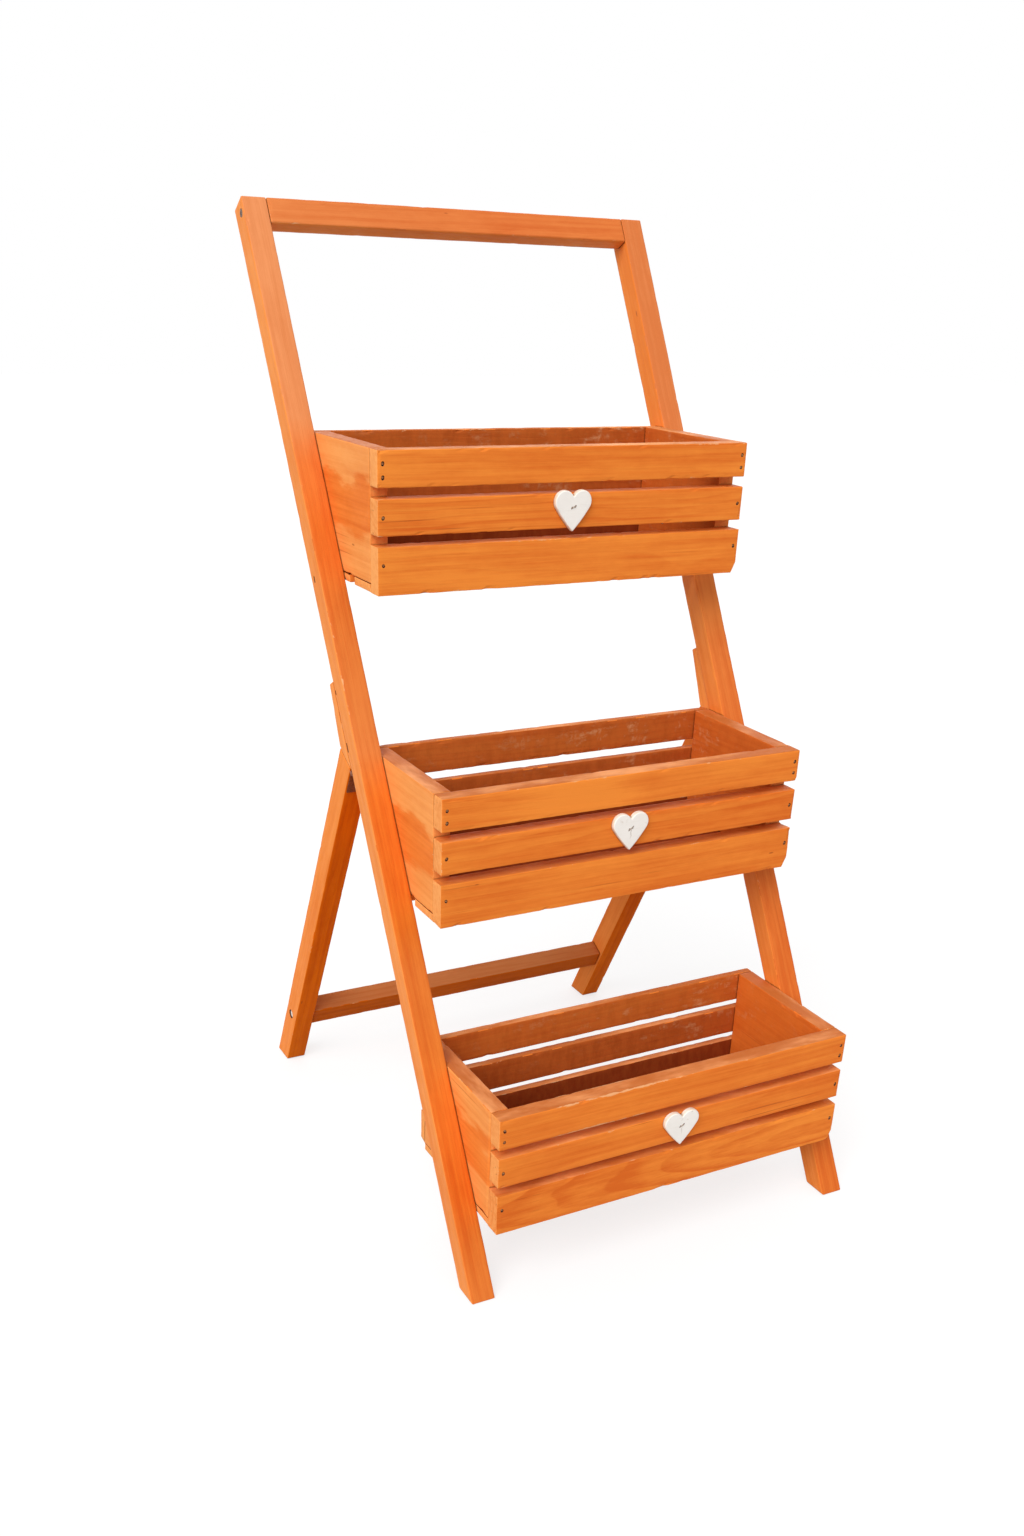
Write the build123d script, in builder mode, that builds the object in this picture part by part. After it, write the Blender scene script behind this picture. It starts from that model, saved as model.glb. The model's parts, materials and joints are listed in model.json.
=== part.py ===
from build123d import *
import os
from math import cos, radians, sin, tan

# Folding plant stand: two leaning front legs carry three slatted boxes, and a hinged rear frame props them.
# The front is towards -Y, +X is the viewer's right, and the floor is Z = 0.

# Front frame
front_lean = 30
leg_width = 28
leg_depth = 28
front_leg_length = 1200
inside_width = 444
rail_height = 28
rail_depth = 18

# Rear frame
rear_lean = 27.5
rear_leg_width = 26
rear_leg_depth = 32
stretcher_height = 28
stretcher_depth = 25
stretcher_top_height = 90

# Boxes, from the lowest to the highest
tiers = ("lower", "middle", "upper")
lower_box_bottom = 80
middle_box_bottom = 372
upper_box_bottom = 678
lower_box_overhang = 42
middle_box_overhang = 67
upper_box_overhang = 88
box_depth = 190
slat_thickness = 20
back_slat_thickness = 10
bottom_slat_height = 48
middle_slat_height = 36
top_slat_height = 36
slat_gap = 10
trim_length = 5.5
trim_height = 12
panel_thickness = 20
floor_thickness = 9
floor_board_count = 3
floor_gap = 12

# Heart on the middle front slat of each box
heart_width = 44
heart_height = 42
heart_thickness = 5
heart_edge_radius = 1.5
heart_tip_radius = 1
heart_notch_radius = 0.8
lobe_radius = 11.5
lobe_end_angle = 34
staple_width = 5
staple_wire = 0.9
staple_length = 12
staple_rise = 4

# Hinge between each front leg and its rear leg
hinge_height = 490
hinge_width = 22
leaf_length = 32
leaf_thickness = 1.5
knuckle_count = 3
knuckle_radius = 3.2
pin_radius = 1.5
pin_head_radius = 2.4
pin_head_height = 1
rear_top_rise = 4
cleat_length = 98
cleat_top_thickness = 11

# Fasteners
wood_screw_radius = 2
wood_screw_head_radius = 4
wood_screw_length = 42
box_screw_length = 40
box_screw_spacing = 30
bolt_head_height = 2.5
stretcher_screw_head_radius = 5
stretcher_screw_sink = 3
stretcher_bore_radius = 6
cleat_seat_thickness = 6
cleat_screw_spacing = 20
cleat_screw_top_margin = 14
cleat_screw_length = 17
leaf_screw_radius = 1.5
leaf_screw_length = 11
leaf_screw_margin = 8
leaf_screw_spacing = 12
nail_radius = 1
nail_head_radius = 1.8
nail_head_height = 1
slat_nail_length = 38
floor_nail_length = 26
slat_nail_end_margin = 6
top_nail_margin = 13
top_nail_spacing = 13
bottom_nail_margin = 18

# Clearances
hole_clearance = 0.1
hole_end_clearance = 1
pin_clearance = 0.05
pin_end_clearance = 0.2
knuckle_clearance = 0.4
knuckle_side_gap = 0.25
stop_gap = 0.3

sides = (("left", -1), ("right", 1))
front_angle = radians(front_lean)
rear_angle = radians(rear_lean)
open_angle = front_angle + rear_angle
across = Vector(1, 0, 0)
leg_back = Vector(0, cos(front_angle), -sin(front_angle))
rear_back = Vector(0, cos(rear_angle), sin(rear_angle))

inner_face = inside_width / 2
outer_face = inner_face + leg_width
rear_inner_face = outer_face - rear_leg_width
hinge_middle = outer_face - rear_leg_width / 2

# The hinge axis stands off both wooden faces by the same distance, and the toes set the front of the stand.
axis_offset = knuckle_radius + knuckle_clearance
hinge_reach = (leg_depth + axis_offset) / cos(front_angle) + hinge_height * tan(front_angle)
heel_reach = hinge_reach + (axis_offset + rear_leg_depth) / cos(rear_angle) + hinge_height * tan(rear_angle)
leg_top_reach = front_leg_length * sin(front_angle) + leg_depth * cos(front_angle)
toe_y = -max(leg_top_reach, heel_reach) / 2

# Side views: local x runs backwards, square to the leg, and local y runs up along it.
leg_view = Plane(origin=(0, toe_y, 0), x_dir=leg_back, z_dir=across)
hinge_point = Vector(0, toe_y + hinge_reach, hinge_height)
front_hinge_view = Plane(origin=hinge_point, x_dir=leg_back, z_dir=across)
rear_hinge_view = Plane(origin=hinge_point, x_dir=rear_back, z_dir=across)

box_bottoms = (lower_box_bottom, middle_box_bottom, upper_box_bottom)
box_overhangs = (lower_box_overhang, middle_box_overhang, upper_box_overhang)
box_height = bottom_slat_height + middle_slat_height + top_slat_height + 2 * slat_gap
middle_slat_bottom = bottom_slat_height + slat_gap
top_slat_bottom = middle_slat_bottom + middle_slat_height + slat_gap
heart_middle = middle_slat_bottom + middle_slat_height / 2
panel_middle = inner_face - panel_thickness / 2
slat_nail_line = inner_face - slat_nail_end_margin
board_room = box_depth - slat_thickness - back_slat_thickness
board_width = (board_room - (floor_board_count - 1) * floor_gap) / floor_board_count
wood_grip = wood_screw_length - leg_width

# Each row of slats: name, bottom and height above the box's bottom, and the heights of the nails at each end
slat_rows = (
    ("bottom", 0, bottom_slat_height, (bottom_slat_height - bottom_nail_margin,)),
    ("middle", middle_slat_bottom, middle_slat_height, (heart_middle,)),
    (
        "top",
        top_slat_bottom,
        top_slat_height,
        (box_height - top_nail_margin, box_height - top_nail_margin - top_nail_spacing),
    ),
)


def save(piece, name):
    piece.part.label = name
    export_step(piece.part, f"parts/{name}.step")


def left_end(side, near, far):
    """The lesser of the two X values that bound a piece on one side of the stand."""
    return near if side > 0 else -far


def box_bottom(tier):
    return box_bottoms[tier]


def box_front(tier):
    """The front of a box, which overhangs the legs' front faces at its bottom."""
    leg_front = toe_y + box_bottom(tier) * tan(front_angle)
    return leg_front - box_overhangs[tier]


def face_thickness(face):
    """The thickness of the front slats, or of the thinner back slats."""
    return slat_thickness if face == "front" else back_slat_thickness


def slat_front(tier, face):
    """The front of the front slats, or of the back slats."""
    return box_front(tier) + (0 if face == "front" else box_depth - back_slat_thickness)


def board_middle(tier, board):
    first = box_front(tier) + slat_thickness + board_width / 2
    return first + board * (board_width + floor_gap)


# Planes that fasteners are driven into, each with its normal pointing back at the driver
def rail_screw_plane(side):
    point = leg_view.from_local_coords((rail_depth / 2, front_leg_length - rail_height / 2, 0))
    return Plane(origin=(side * outer_face, point.Y, point.Z), z_dir=(side, 0, 0))


def box_screw_planes(side, tier, depth):
    """Along the leg's middle line, above and below the lower gap, at a distance into the side panel."""
    gap_middle = box_bottom(tier) + middle_slat_bottom - slat_gap / 2
    planes = []
    for along in (-box_screw_spacing / 2, box_screw_spacing / 2):
        height = gap_middle + along * cos(front_angle)
        middle = toe_y + height * tan(front_angle) + leg_depth / 2 / cos(front_angle)
        place = (side * (inner_face - panel_thickness + depth), middle, height)
        planes.append(Plane(origin=place, z_dir=(-side, 0, 0)))
    return planes


def stretcher_screw_plane(side):
    point = rear_hinge_view.from_local_coords((stretcher_middle, stretcher_upper - stretcher_height / 2, 0))
    return Plane(origin=(side * outer_face, point.Y, point.Z), z_dir=(side, 0, 0))


def cleat_screw_planes(side, depth):
    """Square to the front leg's back face, at a distance behind it."""
    upper = cleat_top - cleat_screw_top_margin
    planes = []
    for height in (upper, upper - cleat_screw_spacing):
        point = (depth - axis_offset, height, side * hinge_middle)
        planes.append(Plane(origin=front_hinge_view.from_local_coords(point), z_dir=leg_back))
    return planes


def leaf_screw_planes(side, leaf, depth):
    """On a hinge leaf, at a distance from the wooden face that it lies on."""
    planes = []
    for height in (leaf_screw_margin, leaf_screw_margin + leaf_screw_spacing):
        x = side * hinge_middle
        if leaf == "fixed":
            point = front_hinge_view.from_local_coords((depth - axis_offset, height - leaf_length, x))
            planes.append(Plane(origin=point, z_dir=leg_back))
        else:
            point = rear_hinge_view.from_local_coords((axis_offset - depth, height - leaf_length, x))
            planes.append(Plane(origin=point, z_dir=-rear_back))
    return planes


def slat_nail_planes(tier, face, heights, depth, ends=(-1, 1)):
    """At a distance below the outer face of the front or back slats."""
    if face == "front":
        y, normal = box_front(tier) + depth, (0, -1, 0)
    else:
        y, normal = box_front(tier) + box_depth - depth, (0, 1, 0)
    planes = []
    for end in ends:
        for height in heights:
            place = (end * slat_nail_line, y, box_bottom(tier) + height)
            planes.append(Plane(origin=place, z_dir=normal))
    return planes


def floor_nail_planes(tier, boards, depth, ends=(-1, 1)):
    """Under the ends of the floor boards, at a height above the box's bottom."""
    planes = []
    for end in ends:
        for board in boards:
            place = (end * panel_middle, board_middle(tier, board), box_bottom(tier) + depth)
            planes.append(Plane(origin=place, z_dir=(0, 0, -1)))
    return planes


# Shared shapes of fasteners, made at every location of the open context
def countersunk_screw(radius, head_radius, length):
    top = (Align.CENTER, Align.CENTER, Align.MAX)
    Cone(radius, head_radius, head_radius - radius, align=top)
    Cylinder(radius, length, align=top)


def headed_fastener(radius, head_radius, head_height, length):
    """The length counts from the top of the head."""
    top = (Align.CENTER, Align.CENTER, Align.MAX)
    Cylinder(head_radius, head_height, align=top)
    Cylinder(radius, length, align=top)


# Lower end of the cleat, which the rear leg's square top meets when the stand is open
stop_rise = rear_top_rise + stop_gap
stop_tip = (stop_rise * sin(open_angle) - axis_offset) / cos(open_angle)
stop_heel = axis_offset + rear_leg_depth
cleat_tip_height = stop_tip * sin(open_angle) + stop_rise * cos(open_angle)
cleat_heel_depth = stop_heel * cos(open_angle) - stop_rise * sin(open_angle)
cleat_heel_height = stop_heel * sin(open_angle) + stop_rise * cos(open_angle)
cleat_top = cleat_tip_height + cleat_length

# The stretcher sits in the middle of the rear legs' depth
stretcher_middle = axis_offset + rear_leg_depth / 2
stretcher_fore = stretcher_middle - stretcher_depth / 2
stretcher_upper = (stretcher_top_height - hinge_height - stretcher_fore * sin(rear_angle)) / cos(rear_angle)

knuckle_width = (hinge_width - (knuckle_count - 1) * knuckle_side_gap) / knuckle_count
fixed_knuckles = range(0, knuckle_count, 2)
moving_knuckles = range(1, knuckle_count, 2)

os.makedirs("parts", exist_ok=True)

# Front legs, cut level at the floor and square at the top
for side_name, side in sides:
    box_planes = []
    for tier in range(len(tiers)):
        box_planes += box_screw_planes(side, tier, panel_thickness)
    with BuildPart() as front_leg:
        with BuildSketch(leg_view.offset(left_end(side, inner_face, outer_face))):
            with BuildLine():
                Polyline(
                    (0, 0),
                    (leg_depth, leg_depth * tan(front_angle)),
                    (leg_depth, front_leg_length),
                    (0, front_leg_length),
                    close=True,
                )
            make_face()
        extrude(amount=leg_width)
        with Locations(rail_screw_plane(side)):
            CounterSinkHole(
                wood_screw_radius + hole_clearance,
                wood_screw_head_radius + hole_clearance,
                counter_sink_angle=90,
            )
        with Locations(*box_planes):
            Hole(wood_screw_radius + hole_clearance, box_screw_length - panel_thickness + hole_end_clearance)
        with Locations(*cleat_screw_planes(side, 0)):
            Hole(
                wood_screw_radius + hole_clearance,
                cleat_screw_length - cleat_seat_thickness + hole_end_clearance,
            )
        with Locations(*leaf_screw_planes(side, "fixed", 0)):
            Hole(leaf_screw_radius + hole_clearance, leaf_screw_length)
    save(front_leg, f"front_leg_{side_name}")

# Top rail between the front legs, flush with their front faces and their tops
with BuildPart() as top_rail:
    with BuildSketch(leg_view.offset(-inner_face)):
        with Locations((0, front_leg_length)):
            Rectangle(rail_depth, rail_height, align=(Align.MIN, Align.MAX))
    extrude(amount=inside_width)
    with Locations(*[rail_screw_plane(side).offset(-leg_width) for _, side in sides]):
        Hole(wood_screw_radius + hole_clearance, wood_grip + hole_end_clearance)
save(top_rail, "top_rail")

with BuildPart() as rail_screws:
    with Locations(*[rail_screw_plane(side) for _, side in sides]):
        countersunk_screw(wood_screw_radius, wood_screw_head_radius, wood_screw_length)
save(rail_screws, "rail_screws")

# Rear legs, cut level at the floor and square at the hinge
for side_name, side in sides:
    with BuildPart() as rear_leg:
        with BuildSketch(rear_hinge_view.offset(left_end(side, rear_inner_face, outer_face))):
            with BuildLine():
                Polyline(
                    (axis_offset, -(hinge_height + axis_offset * sin(rear_angle)) / cos(rear_angle)),
                    (stop_heel, -(hinge_height + stop_heel * sin(rear_angle)) / cos(rear_angle)),
                    (stop_heel, rear_top_rise),
                    (axis_offset, rear_top_rise),
                    close=True,
                )
            make_face()
        extrude(amount=rear_leg_width)
        with Locations(stretcher_screw_plane(side)):
            CounterBoreHole(
                wood_screw_radius + hole_clearance,
                stretcher_bore_radius,
                stretcher_screw_sink + bolt_head_height,
            )
        with Locations(*leaf_screw_planes(side, "moving", 0)):
            Hole(leaf_screw_radius + hole_clearance, leaf_screw_length)
    save(rear_leg, f"rear_leg_{side_name}")

# Stretcher between the rear legs
with BuildPart() as rear_stretcher:
    with BuildSketch(rear_hinge_view.offset(-rear_inner_face)):
        with Locations((stretcher_fore, stretcher_upper)):
            Rectangle(stretcher_depth, stretcher_height, align=(Align.MIN, Align.MAX))
    extrude(amount=2 * rear_inner_face)
    with Locations(*[stretcher_screw_plane(side).offset(-rear_leg_width) for _, side in sides]):
        Hole(wood_screw_radius + hole_clearance, wood_grip + hole_end_clearance)
save(rear_stretcher, "rear_stretcher")

with BuildPart() as stretcher_screws:
    with Locations(*[stretcher_screw_plane(side).offset(-stretcher_screw_sink) for _, side in sides]):
        headed_fastener(
            wood_screw_radius,
            stretcher_screw_head_radius,
            bolt_head_height,
            rear_leg_width - stretcher_screw_sink + wood_grip,
        )
save(stretcher_screws, "stretcher_screws")

# Cleats on the backs of the front legs, which stop the rear legs
for side_name, side in sides:
    with BuildPart() as hinge_cleat:
        with BuildSketch(front_hinge_view.offset(left_end(side, rear_inner_face, outer_face))):
            with BuildLine():
                Polyline(
                    (-axis_offset, cleat_tip_height),
                    (cleat_heel_depth, cleat_heel_height),
                    (cleat_top_thickness - axis_offset, cleat_top),
                    (-axis_offset, cleat_top),
                    close=True,
                )
            make_face()
        extrude(amount=rear_leg_width)
        cleat_room = cleat_heel_depth + axis_offset
        with Locations(*cleat_screw_planes(side, cleat_room)):
            CounterBoreHole(
                wood_screw_radius + hole_clearance,
                wood_screw_head_radius + hole_clearance,
                cleat_room - cleat_seat_thickness,
            )
    save(hinge_cleat, f"hinge_cleat_{side_name}")

with BuildPart() as cleat_screws:
    for _, side in sides:
        with Locations(*cleat_screw_planes(side, cleat_seat_thickness + bolt_head_height)):
            headed_fastener(
                wood_screw_radius,
                wood_screw_head_radius,
                bolt_head_height,
                bolt_head_height + cleat_screw_length,
            )
save(cleat_screws, "cleat_screws")


def hinge_leaf(leaf, side):
    """A plate on one leg with its share of the knuckles round the hinge axis."""
    fixed = leaf == "fixed"
    view = front_hinge_view if fixed else rear_hinge_view
    face = -axis_offset if fixed else axis_offset
    own, other = (fixed_knuckles, moving_knuckles) if fixed else (moving_knuckles, fixed_knuckles)
    start = side * hinge_middle - hinge_width / 2
    pitch = knuckle_width + knuckle_side_gap
    with BuildPart() as plate:
        with BuildSketch(view.offset(start)):
            with Locations((face, 0)):
                Rectangle(
                    leaf_thickness,
                    leaf_length,
                    align=(Align.MIN if fixed else Align.MAX, Align.MAX),
                )
        extrude(amount=hinge_width)
        # Room for the other leaf's knuckles to turn
        for knuckle in other:
            with BuildSketch(view.offset(start + knuckle * pitch - knuckle_side_gap)):
                Rectangle(3 * axis_offset, 2 * axis_offset)
            extrude(amount=knuckle_width + 2 * knuckle_side_gap, mode=Mode.SUBTRACT)
        for knuckle in own:
            with BuildSketch(view.offset(start + knuckle * pitch)):
                Circle(knuckle_radius)
            extrude(amount=knuckle_width)
        with BuildSketch(view.offset(start)):
            Circle(pin_radius + pin_clearance)
        extrude(amount=hinge_width, mode=Mode.SUBTRACT)
        with Locations(*leaf_screw_planes(side, leaf, leaf_thickness)):
            CounterSinkHole(
                leaf_screw_radius + hole_clearance,
                leaf_screw_radius + leaf_thickness + hole_clearance,
                counter_sink_angle=90,
            )
    return plate


# Hinges: a fixed leaf on each front leg, a moving leaf on each rear leg, and their pins
for side_name, side in sides:
    save(hinge_leaf("fixed", side), f"hinge_fixed_leaf_{side_name}")
    save(hinge_leaf("moving", side), f"hinge_moving_leaf_{side_name}")
    pin_start = side * hinge_middle - hinge_width / 2 - pin_end_clearance
    pin_length = hinge_width + 2 * pin_end_clearance
    with BuildPart() as hinge_pin:
        with BuildSketch(front_hinge_view.offset(pin_start)):
            Circle(pin_radius)
        extrude(amount=pin_length)
        for head_start in (pin_start - pin_head_height, pin_start + pin_length):
            with BuildSketch(front_hinge_view.offset(head_start)):
                Circle(pin_head_radius)
            extrude(amount=pin_head_height)
    save(hinge_pin, f"hinge_pin_{side_name}")

for leaf in ("fixed", "moving"):
    with BuildPart() as leaf_screws:
        for _, side in sides:
            with Locations(*leaf_screw_planes(side, leaf, leaf_thickness)):
                countersunk_screw(leaf_screw_radius, leaf_screw_radius + leaf_thickness, leaf_screw_length)
    save(leaf_screws, f"hinge_{leaf}_screws")


def staple_middle(tier):
    """Where the staple meets the front of the heart."""
    return box_front(tier) - heart_thickness, box_bottom(tier) + heart_middle + staple_rise


def staple_legs(tier, width, depth, mode=Mode.ADD):
    """Both legs of a staple, or their holes, from the heart's front backwards."""
    y, height = staple_middle(tier)
    reach = (staple_width - staple_wire) / 2
    with Locations((-reach, y, height), (reach, y, height)):
        Box(width, depth, width, align=(Align.CENTER, Align.MIN, Align.CENTER), mode=mode)


for tier, tier_name in enumerate(tiers):
    front = box_front(tier)
    bottom = box_bottom(tier)

    # Side panels, which stand on the floor boards between the front and back slats
    for side_name, side in sides:
        with BuildPart() as side_panel:
            corner = (left_end(side, inner_face - panel_thickness, inner_face), front + slat_thickness, 0)
            with BuildSketch(Plane.XY.offset(bottom + floor_thickness)):
                with Locations(corner):
                    Rectangle(panel_thickness, board_room, align=Align.MIN)
            extrude(amount=box_height - floor_thickness)
            with Locations(*box_screw_planes(side, tier, 0)):
                CounterSinkHole(
                    wood_screw_radius + hole_clearance,
                    wood_screw_head_radius + hole_clearance,
                    counter_sink_angle=90,
                )
            for face in ("front", "back"):
                for _, _, _, heights in slat_rows:
                    with Locations(*slat_nail_planes(tier, face, heights, face_thickness(face), (side,))):
                        Hole(
                            nail_radius + hole_clearance,
                            slat_nail_length - face_thickness(face) + hole_end_clearance,
                        )
            with Locations(*floor_nail_planes(tier, range(floor_board_count), floor_thickness, (side,))):
                Hole(nail_radius + hole_clearance, floor_nail_length - floor_thickness + hole_end_clearance)
        save(side_panel, f"{tier_name}_box_panel_{side_name}")

    # Front and back slats, the bottom ones trimmed at the lower right corner as seen from outside
    for face, trimmed_end in (("front", 1), ("back", -1)):
        for row, row_bottom, row_height, heights in slat_rows:
            with BuildPart() as slat:
                with BuildSketch(Plane.XY.offset(bottom + row_bottom)):
                    with Locations((0, slat_front(tier, face))):
                        Rectangle(inside_width, face_thickness(face), align=(Align.CENTER, Align.MIN))
                extrude(amount=row_height)
                if row == "bottom":
                    end = slat.faces().sort_by(Axis.X)[-1 if trimmed_end > 0 else 0]
                    trimmed_edge = end.edges().sort_by(Axis.Z)[0]
                    chamfer(trimmed_edge, trim_height, trim_length, reference=end)
                with Locations(*slat_nail_planes(tier, face, heights, 0)):
                    CounterBoreHole(
                        nail_radius + hole_clearance,
                        nail_head_radius + hole_clearance,
                        nail_head_height,
                    )
                if row == "middle" and face == "front":
                    staple_depth = heart_thickness + staple_length + hole_end_clearance
                    staple_legs(tier, staple_wire + hole_clearance, staple_depth, Mode.SUBTRACT)
            save(slat, f"{tier_name}_box_{face}_slat_{row}")

    # Floor boards, which run the whole width under the side panels
    for board in range(floor_board_count):
        with BuildPart() as floor_board:
            with BuildSketch(Plane.XY.offset(bottom)):
                with Locations((0, board_middle(tier, board))):
                    Rectangle(inside_width, board_width)
            extrude(amount=floor_thickness)
            with Locations(*floor_nail_planes(tier, (board,), 0)):
                CounterBoreHole(
                    nail_radius + hole_clearance,
                    nail_head_radius + hole_clearance,
                    nail_head_height,
                )
        save(floor_board, f"{tier_name}_box_floor_board_{board + 1}")

    # Heart: two round lobes that run into sides curving down to the point
    lobe_middle = (heart_width / 2 - lobe_radius, heart_height / 2 - lobe_radius)
    notch = lobe_middle[1] + (lobe_radius**2 - lobe_middle[0] ** 2) ** 0.5
    drop = radians(lobe_end_angle)
    lobe_end = (lobe_middle[0] + lobe_radius * cos(drop), lobe_middle[1] - lobe_radius * sin(drop))
    with BuildPart() as heart:
        heart_plane = Plane(origin=(0, front, bottom + heart_middle), x_dir=across, z_dir=(0, -1, 0))
        with BuildSketch(heart_plane) as outline:
            with BuildLine():
                ThreePointArc((0, notch), (lobe_middle[0], heart_height / 2), lobe_end)
                TangentArc(lobe_end, (0, -heart_height / 2), tangent=(-sin(drop), -cos(drop)))
                Line((0, -heart_height / 2), (0, notch))
            make_face()
            mirror(about=Plane.YZ)
            fillet(outline.vertices().sort_by(Axis.Y)[0], heart_tip_radius)
            on_middle = outline.vertices().filter_by_position(Axis.X, -hole_clearance, hole_clearance)
            fillet(on_middle.sort_by(Axis.Y)[-1], heart_notch_radius)
        extrude(amount=heart_thickness)
        front_face = heart.faces().sort_by(Axis.Y)[0]
        fillet(front_face.edges(), heart_edge_radius)
        staple_legs(tier, staple_wire + hole_clearance, heart_thickness, Mode.SUBTRACT)
    save(heart, f"{tier_name}_box_heart")

# Nails through the slats into the side panels, and up through the floor boards
with BuildPart() as slat_nails:
    for tier in range(len(tiers)):
        for face in ("front", "back"):
            for _, _, _, heights in slat_rows:
                with Locations(*slat_nail_planes(tier, face, heights, 0)):
                    headed_fastener(nail_radius, nail_head_radius, nail_head_height, slat_nail_length)
save(slat_nails, "slat_nails")

with BuildPart() as floor_nails:
    for tier in range(len(tiers)):
        with Locations(*floor_nail_planes(tier, range(floor_board_count), 0)):
            headed_fastener(nail_radius, nail_head_radius, nail_head_height, floor_nail_length)
save(floor_nails, "floor_nails")

# Screws through the boxes' side panels into the front legs
with BuildPart() as box_screws:
    for _, side in sides:
        for tier in range(len(tiers)):
            with Locations(*box_screw_planes(side, tier, 0)):
                countersunk_screw(wood_screw_radius, wood_screw_head_radius, box_screw_length)
save(box_screws, "box_screws")

# Staples that hold the hearts
with BuildPart() as heart_staples:
    for tier in range(len(tiers)):
        y, height = staple_middle(tier)
        with Locations((0, y, height)):
            Box(staple_width, staple_wire, staple_wire, align=(Align.CENTER, Align.MAX, Align.CENTER))
        staple_legs(tier, staple_wire, heart_thickness + staple_length)
save(heart_staples, "heart_staples")
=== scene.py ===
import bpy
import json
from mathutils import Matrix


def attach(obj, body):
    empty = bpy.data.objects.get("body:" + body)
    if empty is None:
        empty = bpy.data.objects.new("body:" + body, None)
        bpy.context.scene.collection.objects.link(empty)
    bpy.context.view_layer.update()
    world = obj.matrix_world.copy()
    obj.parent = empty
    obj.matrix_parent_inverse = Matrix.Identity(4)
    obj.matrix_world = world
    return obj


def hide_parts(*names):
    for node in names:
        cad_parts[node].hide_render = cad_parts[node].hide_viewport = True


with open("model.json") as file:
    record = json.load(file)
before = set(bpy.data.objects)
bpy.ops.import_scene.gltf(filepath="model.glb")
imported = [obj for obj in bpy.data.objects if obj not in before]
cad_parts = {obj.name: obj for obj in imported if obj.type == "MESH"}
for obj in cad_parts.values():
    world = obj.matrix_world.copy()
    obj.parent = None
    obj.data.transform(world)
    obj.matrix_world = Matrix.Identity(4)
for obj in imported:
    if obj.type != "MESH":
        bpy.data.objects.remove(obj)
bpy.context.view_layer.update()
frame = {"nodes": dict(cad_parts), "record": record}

import json
import math
import random
from collections import namedtuple

import bmesh
import bpy
import numpy as np
from mathutils import Matrix, Vector, noise

nodes = frame["nodes"]
bodies = frame["record"]["behaviour"]["bodies"]
body_of_node = {node: body for body, members in bodies.items() for node in members}

TIERS = ("lower", "middle", "upper")
SIDES = ("left", "right")
FRAME_SLOT, BOX_SLOT, STEEL_SLOT = "stained_frame_wood", "stained_box_wood", "steel"

# Directions, and how far the legs lean from upright
FRONT_LEAN, REAR_LEAN = math.radians(30), math.radians(27.5)
FRONT_GRAIN = Vector((0, math.sin(FRONT_LEAN), math.cos(FRONT_LEAN)))
REAR_GRAIN = Vector((0, -math.sin(REAR_LEAN), math.cos(REAR_LEAN)))
ACROSS, DEPTHWISE, UPWARD = Vector((1, 0, 0)), Vector((0, 1, 0)), Vector((0, 0, 1))
NOWHERE = Vector((0, 0, 0))
OUTWARD = {"left": -ACROSS, "right": ACROSS}
X, Y = 0, 1

# Sizes in metres
ARRIS_STRIP = 0.0042  # how far wear reaches from an arris
CUT_SPACING = 0.0065  # between the cuts across a board
DEEPEST_DENT = 0.0012
WELD = 1e-6  # points nearer than this are one
WIRE_RADIUS = 0.00042  # of the staples
STAPLE_LEG = 0.00215  # from a heart's middle to each leg of its staple

# Cosines over which a face counts as looking in a direction, up, or along the grain
LOOKS, LOOKS_UP, LOOKS_ALONG = 0.9, 0.85, 0.8

# Colours that all the wood shares, and late wood's as a share of early wood's
PALE_WOOD = (0.86, 0.5, 0.25)
# Near-black painted shade, for crevices and for the inner faces deepest in a box
DEEP_SHADE = (0.09, 0.016, 0.004)
RED_STAIN = (0.62, 0.085, 0.01)
RESIN = (0.3, 0.05, 0.012)
KNOT = (0.34, 0.055, 0.014)
# Pale pinkish painted reflection of the sky, for faces that look up
TOP_SHEEN_TONES = (0.5, 0.138, 0.033), (0.9, 0.4, 0.155)
# Rough inner faces' own redder colour, darkened by painted shade
ROUGH_SHADED_TONES = (0.45, 0.086, 0.018), (0.35, 0.058, 0.012)
# Late wood's share of the painted sheen's tint, and of the bright colour of painted light
LATE_IN_SHEEN, LATE_ON_LIT_SIDE = (0.82, 0.66, 0.5), (0.86, 0.66, 0.5)
RINGS_PER_METRE = 150.0

# A Mix node's sockets for colours, and the place of the recesses' material on a board
FIRST_COLOUR, SECOND_COLOUR, MIXED_COLOUR = 6, 7, 2
RECESS_INDEX = 1


# Short names for the nodes of a material

def new_material(name):
    material = bpy.data.materials.new(name)
    material.use_nodes = True
    material.node_tree.nodes.clear()
    return material, material.node_tree


def put(tree, socket, value):
    if isinstance(value, bpy.types.NodeSocket):
        tree.links.new(value, socket)
    elif socket.type == "RGBA" and len(value) == 3:
        socket.default_value = (*value, 1)
    else:
        socket.default_value = value


def math_node(tree, operation, first, second=0.5, clamp=False):
    node = tree.nodes.new("ShaderNodeMath")
    node.operation = operation
    node.use_clamp = clamp
    put(tree, node.inputs[0], first)
    put(tree, node.inputs[1], second)
    return node.outputs[0]


def product(tree, first, second, clamp=False):
    return math_node(tree, "MULTIPLY", first, second, clamp)


def total(tree, first, second, clamp=False):
    return math_node(tree, "ADD", first, second, clamp)


def less(tree, first, second, clamp=False):
    return math_node(tree, "SUBTRACT", first, second, clamp)


def stretch(tree, vector, factors):
    node = tree.nodes.new("ShaderNodeVectorMath")
    node.operation = "MULTIPLY"
    put(tree, node.inputs[0], vector)
    put(tree, node.inputs[1], factors)
    return node.outputs[0]


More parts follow.
